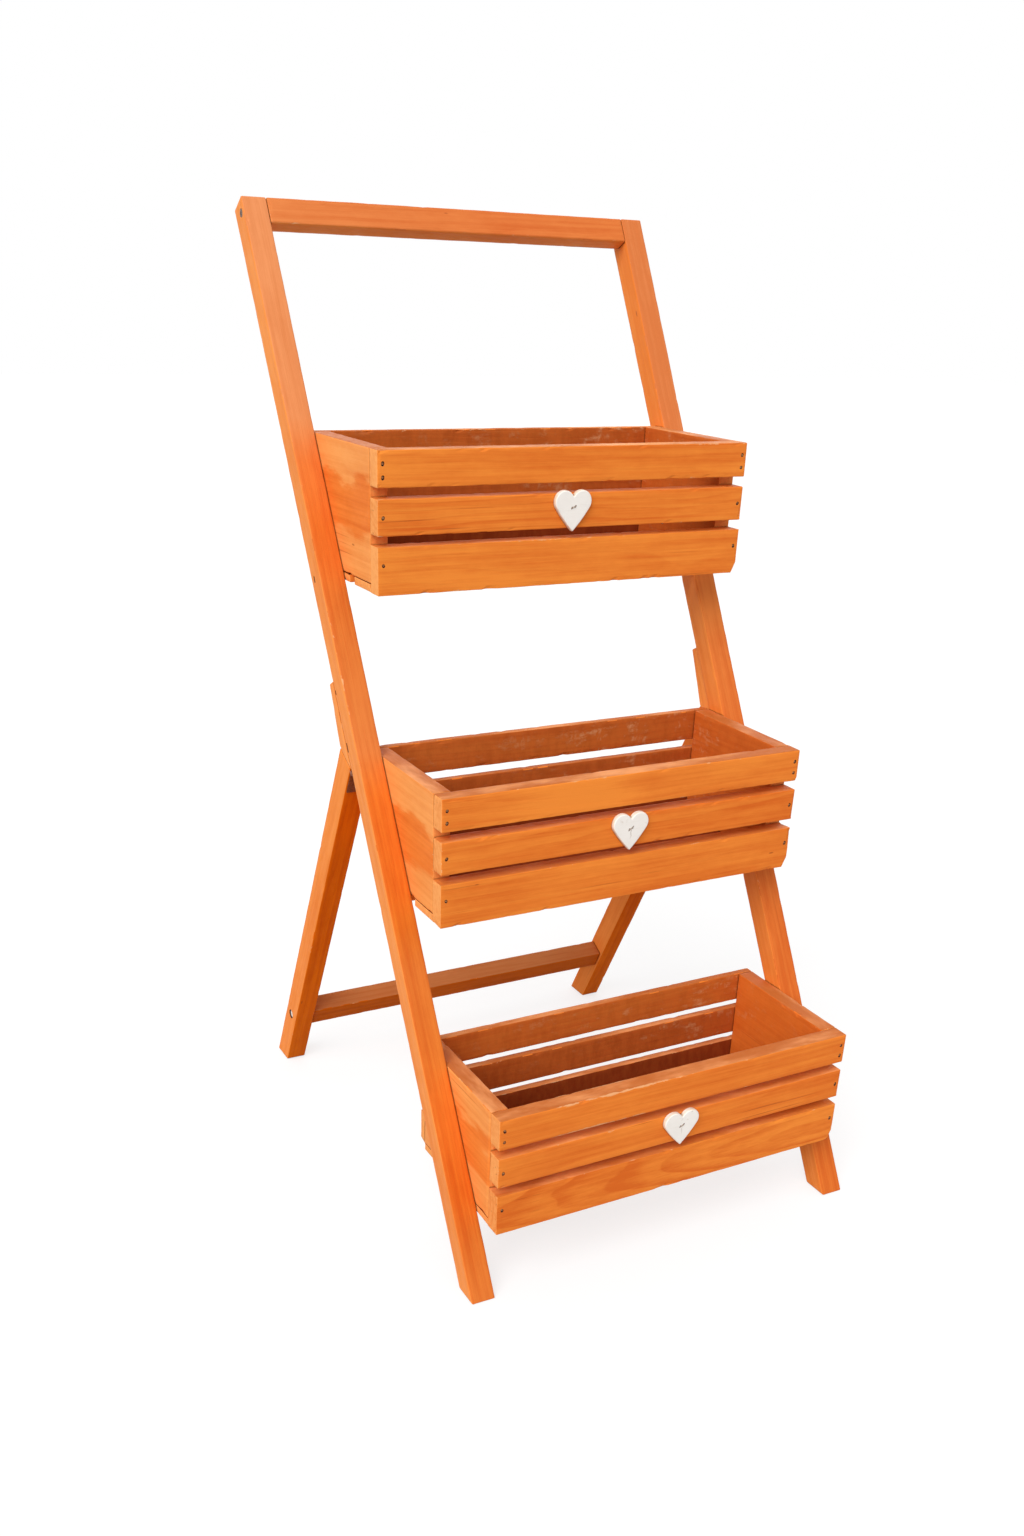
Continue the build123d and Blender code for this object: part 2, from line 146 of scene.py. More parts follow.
def length_of(tree, vector):
    node = tree.nodes.new("ShaderNodeVectorMath")
    node.operation = "LENGTH"
    put(tree, node.inputs[0], vector)
    return node.outputs["Value"]


def parts_of(tree, vector):
    node = tree.nodes.new("ShaderNodeSeparateXYZ")
    put(tree, node.inputs[0], vector)
    return node.outputs


def noise_node(tree, vector, scale=1.0, detail=3.0, roughness=0.5):
    node = tree.nodes.new("ShaderNodeTexNoise")
    put(tree, node.inputs["Vector"], vector)
    put(tree, node.inputs["Scale"], scale)
    put(tree, node.inputs["Detail"], detail)
    put(tree, node.inputs["Roughness"], roughness)
    return node.outputs["Fac"]


def waves(tree, place, per_metre, detail=3.0, roughness=0.5):
    """Noise with so many waves in a metre each way."""
    return noise_node(tree, stretch(tree, place, per_metre), 1.0, detail, roughness)


def span(tree, value, low, high, out_low=0.0, out_high=1.0):
    node = tree.nodes.new("ShaderNodeMapRange")
    node.interpolation_type = "SMOOTHSTEP"
    put(tree, node.inputs["Value"], value)
    put(tree, node.inputs["From Min"], low)
    put(tree, node.inputs["From Max"], high)
    put(tree, node.inputs["To Min"], out_low)
    put(tree, node.inputs["To Max"], out_high)
    return node.outputs["Result"]


def mix(tree, factor, first, second):
    node = tree.nodes.new("ShaderNodeMix")
    node.data_type = "RGBA"
    node.blend_type = "MIX"
    put(tree, node.inputs[0], factor)
    put(tree, node.inputs[FIRST_COLOUR], first)
    put(tree, node.inputs[SECOND_COLOUR], second)
    return node.outputs[MIXED_COLOUR]


def attribute(tree, name, output="Fac"):
    node = tree.nodes.new("ShaderNodeAttribute")
    node.attribute_name = name
    return node.outputs[output]


def own_place(tree):
    return tree.nodes.new("ShaderNodeTexCoord").outputs["Object"]


def bump_node(tree, height, distance, strength=1.0):
    node = tree.nodes.new("ShaderNodeBump")
    put(tree, node.inputs["Height"], height)
    put(tree, node.inputs["Distance"], distance)
    put(tree, node.inputs["Strength"], strength)
    return node.outputs["Normal"]


def surface(tree, **inputs):
    shader = tree.nodes.new("ShaderNodeBsdfPrincipled")
    output = tree.nodes.new("ShaderNodeOutputMaterial")
    for name, value in inputs.items():
        put(tree, shader.inputs[name.replace("_", " ")], value)
    tree.links.new(shader.outputs[0], output.inputs["Surface"])


def crevices(tree, reach):
    node = tree.nodes.new("ShaderNodeAmbientOcclusion")
    node.samples = 8
    node.inputs["Distance"].default_value = reach
    return node.outputs["AO"]


def seen_directly(tree):
    """1 where the camera sees a thing, also in a mirror or through glass, and 0 for its light."""
    path = tree.nodes.new("ShaderNodeLightPath")
    seen = math_node(
        tree, "MAXIMUM", path.outputs["Is Camera Ray"], path.outputs["Is Glossy Ray"]
    )
    return math_node(tree, "MAXIMUM", seen, path.outputs["Is Transmission Ray"])


def times(colour, factors):
    return tuple(a * b for a, b in zip(colour, factors))


# Materials

def wood_material(name, light, deep, sheen_tint, bright, shine, banded=False):
    """Stained softwood. Its grain follows the board, and it is redder and chalkier inside a box,
    and darker there with painted shade, near black on the inner faces deepest in a box.

    A paler tint, a painted sheen that stands for a reflection, lies where the board asks for it,
    and painted light brightens the board's ends and its lit side, where it may come in bands. Faces
    that look up take a painted reflection of the sky, and crevices take painted shade.
    """
    material, tree = new_material(name)
    grain = attribute(tree, "grain", "Vector")
    tone, red, wear, painted_sheen, painted_lit_side, inside, upper, end, figure = (
        attribute(tree, value)
        for value in ("tone", "red", "wear", "painted_sheen", "painted_lit_side", "inside", "upper", "end", "figure")
    )
    share = parts_of(tree, attribute(tree, "share", "Vector"))

    def fibres(along, across, detail, roughness=0.5):
        return waves(tree, grain, (along, across, across), detail, roughness)

    # Growth rings round a pith that lies off the board, bent by a slow wander along its length
    wander_reach, drift_reach = 0.045, 0.006
    wander = fibres(2.2, 9.0, 2.0)
    drift = fibres(7.0, 30.0, 2.0)
    radius = length_of(tree, stretch(tree, grain, (0.0, 1.0, 1.0)))
    bent = total(tree, radius, product(tree, wander, wander_reach))
    bent = total(tree, bent, product(tree, drift, drift_reach))
    ring = math_node(tree, "FRACT", product(tree, bent, RINGS_PER_METRE))
    late = product(tree, span(tree, ring, 0.25, 0.9), span(tree, ring, 1.0, 0.92))
    late = product(tree, late, span(tree, drift, 0.3, 0.65, 0.25, 1.0))

    # Fibres, from hairlines to streaks a few millimetres wide
    hair = fibres(14.0, 1100.0, 3.0, 0.6)
    streak = fibres(3.0, 190.0, 3.0, 0.55)
    resin = fibres(5.0, 330.0, 2.0)
    resin = product(tree, span(tree, resin, 0.66, 0.74), span(tree, wander, 0.5, 0.62))
    blotch = fibres(9.0, 26.0, 4.0, 0.6)
    mottle = fibres(60.0, 130.0, 4.0, 0.65)

    # How deep the stain is: late wood, then each kind of fibre from its least to its most
    depth = product(tree, late, total(tree, figure, 0.18))
    for value, low, high, least, most in (
        (streak, 0.35, 0.7, -0.16, 0.2),
        (hair, 0.3, 0.75, -0.1, 0.14),
        (blotch, 0.3, 0.7, -0.17, 0.2),
        (mottle, 0.3, 0.75, -0.06, 0.08),
    ):
        depth = total(tree, depth, span(tree, value, low, high, least, most))
    depth = total(tree, depth, tone)
    depth = total(tree, depth, 0.3, clamp=True)
    # Painted light: faces that look towards the lit side, and the end faces, take the bright
    # colour; on banded boards the painted light fades in dull bands
    if banded:
        bend = total(tree, share[1], span(tree, blotch, 0.2, 0.8, -0.14, 0.14))
        dull = product(tree, span(tree, bend, 0.26, 0.38), span(tree, bend, 0.8, 0.66))
        painted_lit_side = product(tree, painted_lit_side, span(tree, dull, 0.0, 1.0, 1.0, 0.15))
    painted_lit_side = total(tree, painted_lit_side, product(tree, end, 0.85), clamp=True)
    # Painted sheen, a painted reflection: early and late wood turn toward the paler tint
    early_wood = mix(tree, painted_lit_side, mix(tree, painted_sheen, light, sheen_tint), bright)
    late_wood = mix(tree, painted_sheen, deep, times(sheen_tint, LATE_IN_SHEEN))
    late_wood = mix(tree, painted_lit_side, late_wood, times(bright, LATE_ON_LIT_SIDE))
    colour = mix(tree, depth, early_wood, late_wood)
    colour = mix(tree, product(tree, resin, 0.5), colour, RESIN)
    colour = mix(tree, red, colour, RED_STAIN)

    # Faces that look up take a pale pinkish painted reflection of the sky, blotchy along the board
    top_sheen_colour = mix(tree, span(tree, blotch, 0.42, 0.72), *TOP_SHEEN_TONES)
    colour = mix(tree, product(tree, upper, 0.85), colour, top_sheen_colour)

    # Rough inner faces: wavering saw marks across the grain, chalky scuffs mostly at one end, and
    # their own redder colour darkened by painted shade, more of it deeper in a box
    saw = fibres(95.0, 40.0, 4.0, 0.65)
    scuff = fibres(26.0, 60.0, 5.0, 0.7)
    chalk = product(tree, span(tree, scuff, 0.5, 0.7), span(tree, saw, 0.42, 0.6))
    chalk = product(tree, chalk, span(tree, share[0], 0.25, 0.8, 0.2, 0.6))
    chalk = product(tree, chalk, product(tree, inside, span(tree, inside, 1.3, 1.0)))
    rough_shaded_tone = mix(tree, span(tree, saw, 0.35, 0.65), *ROUGH_SHADED_TONES)
    colour = mix(tree, product(tree, inside, 0.7, clamp=True), colour, rough_shaded_tone)
    # Painted shade: the inner faces deepest in a box turn near-black
    colour = mix(tree, span(tree, inside, 1.0, 2.0, 0.0, 0.8), colour, DEEP_SHADE)
    colour = mix(tree, chalk, colour, PALE_WOOD)

    # Knots, few and small
    cells = tree.nodes.new("ShaderNodeTexVoronoi")
    put(tree, cells.inputs["Vector"], stretch(tree, grain, (4.2, 15.0, 15.0)))
    chosen = tree.nodes.new("ShaderNodeSeparateColor")
    tree.links.new(cells.outputs["Color"], chosen.inputs[0])
    near = total(tree, cells.outputs["Distance"], product(tree, mottle, 0.07))
    knot = span(tree, near, 0.125, 0.085)
    knot = product(tree, knot, span(tree, chosen.outputs[0], 0.93, 0.95))
    colour = mix(tree, product(tree, knot, 0.6), colour, KNOT)

    # Bare wood where the arrises are worn, and near-black painted shade in the seams and crevices
    # that ambient occlusion finds
    fray = fibres(75.0, 260.0, 4.0, 0.7)
    patch = fibres(11.0, 11.0, 2.0)
    bare = total(tree, fray, product(tree, patch, 0.45))
    bare = span(tree, total(tree, bare, product(tree, wear, 0.34)), 1.12, 1.2)
    bare = product(tree, bare, span(tree, wear, 0.15, 0.75))
    colour = mix(tree, product(tree, bare, 0.66), colour, PALE_WOOD)
    crevice_shade = span(tree, crevices(tree, 0.003), 0.35, 0.8, 0.6, 0.0)
    colour = mix(tree, crevice_shade, colour, DEEP_SHADE)

    # Height: fibres and rings, and the saw's marks inside
    height = total(tree, product(tree, hair, 0.6), product(tree, late, -0.25))
    height = total(tree, height, product(tree, streak, 0.5))
    height = total(tree, height, product(tree, product(tree, saw, inside), 0.9))
    height = less(tree, height, product(tree, bare, 0.5))

    # Roughness: bare wood, inner faces and end grain shine least
    gloss = total(tree, span(tree, mottle, 0.3, 0.7, 0.4, 0.52), product(tree, bare, 0.25))
    gloss = total(tree, gloss, product(tree, inside, 0.2))
    gloss = total(tree, gloss, product(tree, end, 0.12), clamp=True)
    surface(
        tree,
        Base_Color=colour,
        Roughness=gloss,
        Normal=bump_node(tree, height, 0.0006, 0.5),
        Specular_IOR_Level=shine,
    )
    return material


def hole_shade_material():
    """Dark brown wood fibre in the hole round a fastener, darkened to near black as painted shade.
    """
    material, tree = new_material("recess_shade")
    dark, brown = (0.035, 0.008, 0.004), (0.14, 0.035, 0.012)
    fibre = waves(tree, own_place(tree), (900.0, 900.0, 900.0))
    colour = mix(tree, span(tree, fibre, 0.35, 0.7), dark, brown)
    surface(tree, Base_Color=colour, Roughness=0.85, Normal=bump_node(tree, fibre, 0.0004))
    return material


def heart_material(name, staple, slope, crack):
    """Brushed off-white paint, thin and soiled on the cut edges and rusty where the staple goes in.

    staple is the staple's height and slope its tilt, and crack says how much of a fine crack shows
    below it.
    """
    paint, grey_paint, brush_mark = (0.98, 0.93, 0.87), (0.94, 0.89, 0.83), (0.76, 0.69, 0.6)
    dirt, cut_edge, shade = (0.55, 0.43, 0.31), (0.84, 0.7, 0.52), (0.16, 0.07, 0.03)
    crack_brown, rust_brown = (0.3, 0.2, 0.13), (0.12, 0.05, 0.02)
    material, tree = new_material(name)
    place = own_place(tree)
    x, _, z = parts_of(tree, place)
    shape = tree.nodes.new("ShaderNodeNewGeometry")
    facing = parts_of(tree, shape.outputs["True Normal"])
    edge = span(tree, facing[1], -0.93, -0.45)

    # Paint, its brush marks and soil, and painted shade in the crevices round the heart
    brush = waves(tree, place, (60.0, 500.0, 900.0), 4.0, 0.6)
    soil = waves(tree, place, (140.0, 140.0, 140.0), 5.0, 0.65)
    cloud = waves(tree, place, (45.0, 45.0, 45.0))
    colour = mix(tree, span(tree, cloud, 0.35, 0.7), paint, grey_paint)
    colour = mix(tree, span(tree, brush, 0.52, 0.74, 0.0, 0.2), colour, brush_mark)
    colour = mix(tree, span(tree, soil, 0.62, 0.74, 0.0, 0.55), colour, dirt)
    worn = product(tree, edge, span(tree, soil, 0.38, 0.6, 0.35, 0.9))
    colour = mix(tree, worn, colour, cut_edge)
    # Painted shade: ambient occlusion darkens the paint in crevices
    crevice_shade = span(tree, crevices(tree, 0.004), 0.4, 0.85, 0.6, 0.0)
    colour = mix(tree, crevice_shade, colour, shade)

    # A crack that wanders down from the staple
    wobble = waves(tree, place, (0.0, 0.0, 260.0), 2.0)
    wobble = span(tree, wobble, 0.2, 0.8, -0.0012, 0.0012)
    off = math_node(tree, "ABSOLUTE", less(tree, x, wobble))
    line = product(
        tree, span(tree, off, 0.0006, 0.00025), span(tree, z, staple, staple - 0.002)
    )
    line = product(tree, line, span(tree, z, staple - 0.014, staple - 0.006))
    line = product(tree, line, crack)
    colour = mix(tree, line, colour, crack_brown)

    # Rust round the staple's legs
    beside = less(tree, math_node(tree, "ABSOLUTE", x, 0.0), STAPLE_LEG)
    above = less(tree, z, total(tree, product(tree, x, slope), staple))
    squares = total(
        tree, math_node(tree, "POWER", beside, 2.0), math_node(tree, "POWER", above, 2.0)
    )
    rust = span(tree, math_node(tree, "SQRT", squares, 0.0), 0.0015, 0.0008, 0.0, 0.9)
    colour = mix(tree, rust, colour, rust_brown)
    height = total(tree, product(tree, brush, 0.7), product(tree, soil, 0.5))
    surface(
        tree,
        Base_Color=colour,
        Roughness=span(tree, soil, 0.3, 0.7, 0.48, 0.66),
        Normal=bump_node(tree, height, 0.0004, 0.6),
    )
    return material


def metal_material(name, bright, dull, stain, clean=0.35, metallic=1.0):
    """Steel with a mottled dull film, more of it where clean is low, and wood stain over it."""
    wood_stain = (0.2, 0.05, 0.015)
    material, tree = new_material(name)
    place = own_place(tree)
    film = waves(tree, place, (420.0, 420.0, 420.0), 4.0, 0.6)
    spots = waves(tree, place, (1300.0, 1300.0, 1300.0), 3.0, 0.6)
    colour = mix(tree, span(tree, film, clean, clean + 0.3), bright, dull)
    run = product(tree, span(tree, spots, 0.45, 0.6), stain)
    colour = mix(tree, run, colour, wood_stain)
    surface(
        tree,
        Base_Color=colour,
        Metallic=product(tree, less(tree, 1.0, run, clamp=True), metallic),
        Roughness=span(tree, film, 0.3, 0.7, 0.28, 0.55),
        Normal=bump_node(tree, spots, 0.0002, 0.5),
    )
    return material


def floor_material():
    """Pale grey that shows white where it is seen, and keeps the shadows."""
    material, tree = new_material("studio_floor")
    cloud = noise_node(tree, own_place(tree), 1.5, 2.0)
    plain = tree.nodes.new("ShaderNodeBsdfDiffuse")
    put(tree, plain.inputs["Color"], mix(tree, cloud, (0.4, 0.4, 0.4), (0.42, 0.42, 0.42)))
    shaded = tree.nodes.new("ShaderNodeBsdfDiffuse")
    put(tree, shaded.inputs["Color"], mix(tree, cloud, (0.3, 0.3, 0.3), (0.31, 0.31, 0.31)))
    glow = tree.nodes.new("ShaderNodeEmission")
    put(tree, glow.inputs["Strength"], 0.72)
    both = tree.nodes.new("ShaderNodeAddShader")
    tree.links.new(shaded.outputs[0], both.inputs[0])
    tree.links.new(glow.outputs[0], both.inputs[1])
    choice = tree.nodes.new("ShaderNodeMixShader")
    tree.links.new(seen_directly(tree), choice.inputs[0])
    tree.links.new(plain.outputs[0], choice.inputs[1])
    tree.links.new(both.outputs[0], choice.inputs[2])
    output = tree.nodes.new("ShaderNodeOutputMaterial")
    tree.links.new(choice.outputs[0], output.inputs["Surface"])
    return material


frame_wood = wood_material(
    "frame_wood",
    light=(0.82, 0.21, 0.022),
    deep=(0.66, 0.115, 0.01),
    sheen_tint=(0.84, 0.305, 0.115),
    bright=(0.96, 0.33, 0.07),
    shine=0.08,
)
rear_wood = wood_material(
    "rear_wood",
    light=(0.92, 0.175, 0.002),
    deep=(0.68, 0.09, 0.001),
    sheen_tint=(0.86, 0.22, 0.014),
    bright=(0.95, 0.3, 0.06),
    shine=0.02,
)
stretcher_wood = wood_material(
    "stretcher_wood",
    light=(0.68, 0.135, 0.004),
    deep=(0.5, 0.085, 0.002),
    sheen_tint=(0.55, 0.17, 0.04),
    bright=(0.54, 0.19, 0.062),
    shine=0.03,
)
box_wood = wood_material(
    "box_wood",
    light=(0.97, 0.288, 0.042),
    deep=(0.76, 0.152, 0.019),
    sheen_tint=(0.95, 0.33, 0.07),
    bright=(0.98, 0.43, 0.14),
    shine=0.04,
)
panel_wood = wood_material(
    "panel_wood",
    light=(0.91, 0.222, 0.03),
    deep=(0.72, 0.13, 0.013),
    sheen_tint=(0.95, 0.33, 0.07),
    bright=(0.97, 0.38, 0.105),
    shine=0.05,
    banded=True,
)
recess_shade = hole_shade_material()
zinc = metal_material(
    "zinc_steel", bright=(0.72, 0.72, 0.7), dull=(0.42, 0.41, 0.39), stain=0.25
)
stained_steel = metal_material(
    "stained_steel", bright=(0.5, 0.47, 0.43), dull=(0.2, 0.17, 0.14), stain=0.8
)
bolt_steel = metal_material(
    "bolt_steel", bright=(0.92, 0.88, 0.8), dull=(0.7, 0.64, 0.54), stain=0.15, metallic=0.35
)
nail_steel = metal_material(
    "nail_steel",
    bright=(0.6, 0.3, 0.12),
    dull=(0.36, 0.13, 0.04),
    stain=0.5,
    clean=0.3,
    metallic=0.2,
)
wire_steel = metal_material(
    "wire_steel", bright=(0.6, 0.5, 0.4), dull=(0.34, 0.25, 0.17), stain=0.3
)
dark_steel = metal_material(
    "dark_steel", bright=(0.16, 0.13, 0.1), dull=(0.045, 0.03, 0.02), stain=0.5
)
# Dark brown for the hinges, as painted shade: they sit in the shaded V between front and rear legs
shade_brown_steel = metal_material(
    "shade_brown_steel", bright=(0.3, 0.085, 0.016), dull=(0.17, 0.045, 0.01), stain=0.9
)


# Pieces, and what they take from the solids

def new_piece(name, bm, *materials):
    """An object with the mesh that bm holds. bm is freed."""
    mesh = bpy.data.meshes.new(name)
    bm.to_mesh(mesh)
    bm.free()
    for material in materials:
        mesh.materials.append(material)
    piece = bpy.data.objects.new(name, mesh)
    bpy.context.scene.collection.objects.link(piece)
    return piece


def stand_for(piece, node):
    """The piece moves with the node's body and takes the node's place."""
    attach(piece, body_of_node[node])
    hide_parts(node)


def round_angles(sides):
    return [step * 2 * math.pi / sides for step in range(sides)]


def close_tube(bm, rings):
    """Faces between each ring of points and the next, and over both ends."""
    bm.faces.new(rings[0])
    bm.faces.new(rings[-1])
    for first, second in zip(rings, rings[1:]):
        for step in range(len(first)):
            bm.faces.new((first[step - 1], first[step], second[step], second[step - 1]))


def corners_of(points):
    """The corners of the outline round flat points, in order, without those on a straight run."""
    points = sorted(set(points))

    def half(row):
        chain = []
        for point in row:
            while len(chain) > 1:
                (ax, ay), (bx, by) = chain[-2], chain[-1]
                if (bx - ax) * (point[1] - ay) - (by - ay) * (point[0] - ax) > 0:
                    break
                chain.pop()
            chain.append(point)
        return chain[:-1]

    straight = 2e-5
    ring = half(points) + half(points[::-1])
    kept = []
    for index, (x, y) in enumerate(ring):
        ax, ay = kept[-1] if kept else ring[index - 1]
        bx, by = ring[(index + 1) % len(ring)]
        run = math.hypot(bx - ax, by - ay)
        off = abs((bx - ax) * (y - ay) - (by - ay) * (x - ax)) / run
        if off > straight:
            kept.append((x, y))
    return kept


def islands(node):
    """The points of each separate solid of a node."""
    bm = bmesh.new()
    bm.from_mesh(nodes[node].data)
    bmesh.ops.remove_doubles(bm, verts=bm.verts, dist=WELD)
    left = set(bm.verts)
    found = []
    while left:
        start = left.pop()
        island, todo = [start], [start]
        while todo:
            for edge in todo.pop().link_edges:
                for vert in edge.verts:
                    if vert in left:
                        left.remove(vert)
                        island.append(vert)
                        todo.append(vert)
        found.append(np.array([vert.co for vert in island]))
    bm.free()
    return sorted(found, key=lambda points: tuple(points.mean(0).round(5)))


def fasteners(node):
    """The middle of each fastener's head, its direction into the wood and its head's radius."""
    end_depth = 1e-4
    found = []
    for points in islands(node):
        middle = points.mean(0)
        axis = np.linalg.svd(points - middle)[2][0]
        along = (points - middle) @ axis
        ends = []
        for sign in (-1, 1):
            rim = points[sign * along > (sign * along).max() - end_depth]
            centre = (rim.max(0) + rim.min(0)) / 2
            ends.append((np.linalg.norm(rim - centre, axis=1).max(), sign, centre))
        head_radius, sign, centre = max(ends, key=lambda item: item[0])
        found.append((Vector(centre), Vector(-sign * axis).normalized(), head_radius))
    return found


def turned_to(direction, place):
    """A matrix that lays local Z along a direction at a place."""
    turn = direction.to_track_quat("Z", "Y").to_matrix().to_4x4()
    return Matrix.Translation(place) @ turn


# Recesses round the fasteners: tapered holes, each drawn out along its slot
Recess = namedtuple("Recess", "head direction before depth wide narrow slot")
recesses = []
mark_dice = random.Random(3)
for node, before, depth, wide, narrow in (
    ("slat_nails", 0.001, 0.0022, 0.0017, 0.0015),
    ("floor_nails", 0.001, 0.0022, 0.002, 0.0018),
    ("rail_screws", 0.001, 0.003, 0.0043, 0.0042),
    ("box_screws", 0.001, 0.003, 0.0043, 0.0042),
    ("stretcher_screws", 0.004, 0.003, 0.0063, 0.006),
    ("cleat_screws", 0.014, 0.0025, 0.0044, 0.0043),
):
    for head, direction, _ in fasteners(node):
        slot = NOWHERE
        if node == "slat_nails":
            sideways = mark_dice.uniform(-0.0005, 0.0005)
            slot = Vector((sideways, 0, mark_dice.uniform(0.0004, 0.0015)))
        recesses.append(Recess(head, direction, before, depth, wide, narrow, slot))

# Slits in the left front leg's outer face, by their places behind its front face and up its length
leg_points = np.array([vert.co for vert in nodes["front_leg_left"].data.vertices])
leg_toe = Vector(leg_points.min(0))
leg_back = ACROSS.cross(FRONT_GRAIN) * -1
for back, along, wide, length in (
    (0.018, 0.7926, 0.0013, 0.005),
    (0.0245, 0.6105, 0.0014, 0.008),
    (0.025, 0.671, 0.0012, 0.003),
):
    place = leg_toe + leg_back * back + FRONT_GRAIN * along
    recesses.append(Recess(place, ACROSS, 0.001, 0.003, wide, wide * 0.8, FRONT_GRAIN * length))


def cut_recesses(piece, low, high):
    """Sinks into the piece each recess whose mouth lies in its box."""
    probe, margin = 0.0012, 0.0005
    cutter = bmesh.new()
    for head, direction, before, depth, wide, narrow, slot in recesses:
        inside = head + direction * probe
        if any(inside[i] < low[i] + margin or inside[i] > high[i] - margin for i in range(3)):
            continue
        middle = head + direction * (depth - before) / 2
        cone = bmesh.ops.create_cone(
            cutter,
            cap_ends=True,
            segments=20,
            radius1=wide,
            radius2=narrow,
            depth=depth + before,
            matrix=turned_to(direction, middle),
        )
        for vert in cone["verts"]:
            vert.co += slot / 2 if (vert.co - head).dot(slot) > 0 else -slot / 2
    if not cutter.faces:
        cutter.free()
        return
    for face in cutter.faces:
        face.material_index = RECESS_INDEX
    tool = new_piece("cutter", cutter)
    modifier = piece.modifiers.new("recesses", "BOOLEAN")
    modifier.operation = "DIFFERENCE"
    modifier.solver = "EXACT"
    modifier.material_mode = "INDEX"
    modifier.object = tool
    bpy.context.view_layer.update()
    result = piece.evaluated_get(bpy.context.evaluated_depsgraph_get())
    cut = bpy.data.meshes.new_from_object(result)
    piece.modifiers.clear()
    whole, tool_mesh = piece.data, tool.data
    piece.data = cut
    bpy.data.meshes.remove(whole)
    bpy.data.objects.remove(tool)
    bpy.data.meshes.remove(tool_mesh)


# Boards

def blank(points, through):
    """A solid with the points' outline, straight through along an axis, and its faces' planes."""
    u, v = [axis for axis in range(3) if axis != through]
    outline = corners_of([(round(float(p[u]), 6), round(float(p[v]), 6)) for p in points])
    bm = bmesh.new()
    rings = []
    for level in (points.min(0)[through], points.max(0)[through]):
        ring = []
        for a, b in outline:
            place = [0.0, 0.0, 0.0]
            place[u], place[v], place[through] = a, b, level
            ring.append(bm.verts.new(place))
        rings.append(ring)
    close_tube(bm, rings)
    bmesh.ops.recalc_face_normals(bm, faces=bm.faces)
    bm.normal_update()
    return bm, [(face.calc_center_median(), face.normal.copy()) for face in bm.faces]


def cut_strips(bm, planes, grain, start, length):
    """Cuts a strip along every arris, and cuts across the grain for the wear to follow."""
    on_plane = 1e-7

    def slice_at(place, normal):
        everything = bm.verts[:] + bm.edges[:] + bm.faces[:]
        bmesh.ops.bisect_plane(
            bm, geom=everything, dist=on_plane, plane_co=place, plane_no=normal
        )

    for place, normal in planes:
        slice_at(place - normal * ARRIS_STRIP, normal)
    count = max(4, round(length / CUT_SPACING))
    for index in range(2, count - 1):
        slice_at(grain * (start + length * index / count), grain)


def soften(bm, planes, arris, chips, odd):
    """Rounds the arrises and dents them. odd shifts the noise, so that no two boards are alike."""
    least_angle, flat = math.radians(12), 0.9995
    even_wear, uneven_wear, chip_start = 0.00018, 0.0002, 0.33
    waves_per_metre, chips_per_metre = 70, 210
    sharp = [e for e in bm.edges if len(e.link_faces) == 2 and e.calc_face_angle() > least_angle]
    bmesh.ops.bevel(
        bm,
        geom=sharp,
        offset=arris,
        offset_type="OFFSET",
        segments=2,
        profile=0.5,
        affect="EDGES",
        clamp_overlap=True,
    )
    bm.normal_update()
    moves = []
    for vert in bm.verts:
        if all(
            any(face.normal.dot(normal) > flat for _, normal in planes) for face in vert.link_faces
        ):
            continue
        wave = noise.noise(vert.co * waves_per_metre + odd)
        chip = noise.noise(vert.co * chips_per_metre - odd)
        amount = even_wear + uneven_wear * wave + chips * max(0.0, chip - chip_start)
        moves.append((vert, vert.normal * max(0.0, min(amount, DEEPEST_DENT))))
    for vert, move in moves:
        vert.co -= move
    for face in bm.faces:
        face.smooth = False


def write_values(mesh, domain, name, values):
    """Keeps numbers, or rows of three, with the mesh for its material to read."""
    kind, field = ("FLOAT_VECTOR", "vector") if values.ndim == 2 else ("FLOAT", "value")
    layer = mesh.attributes.new(name, kind, domain)
    layer.data.foreach_set(field, values.astype(np.float32).ravel())


EVEN = ((0, 0),)


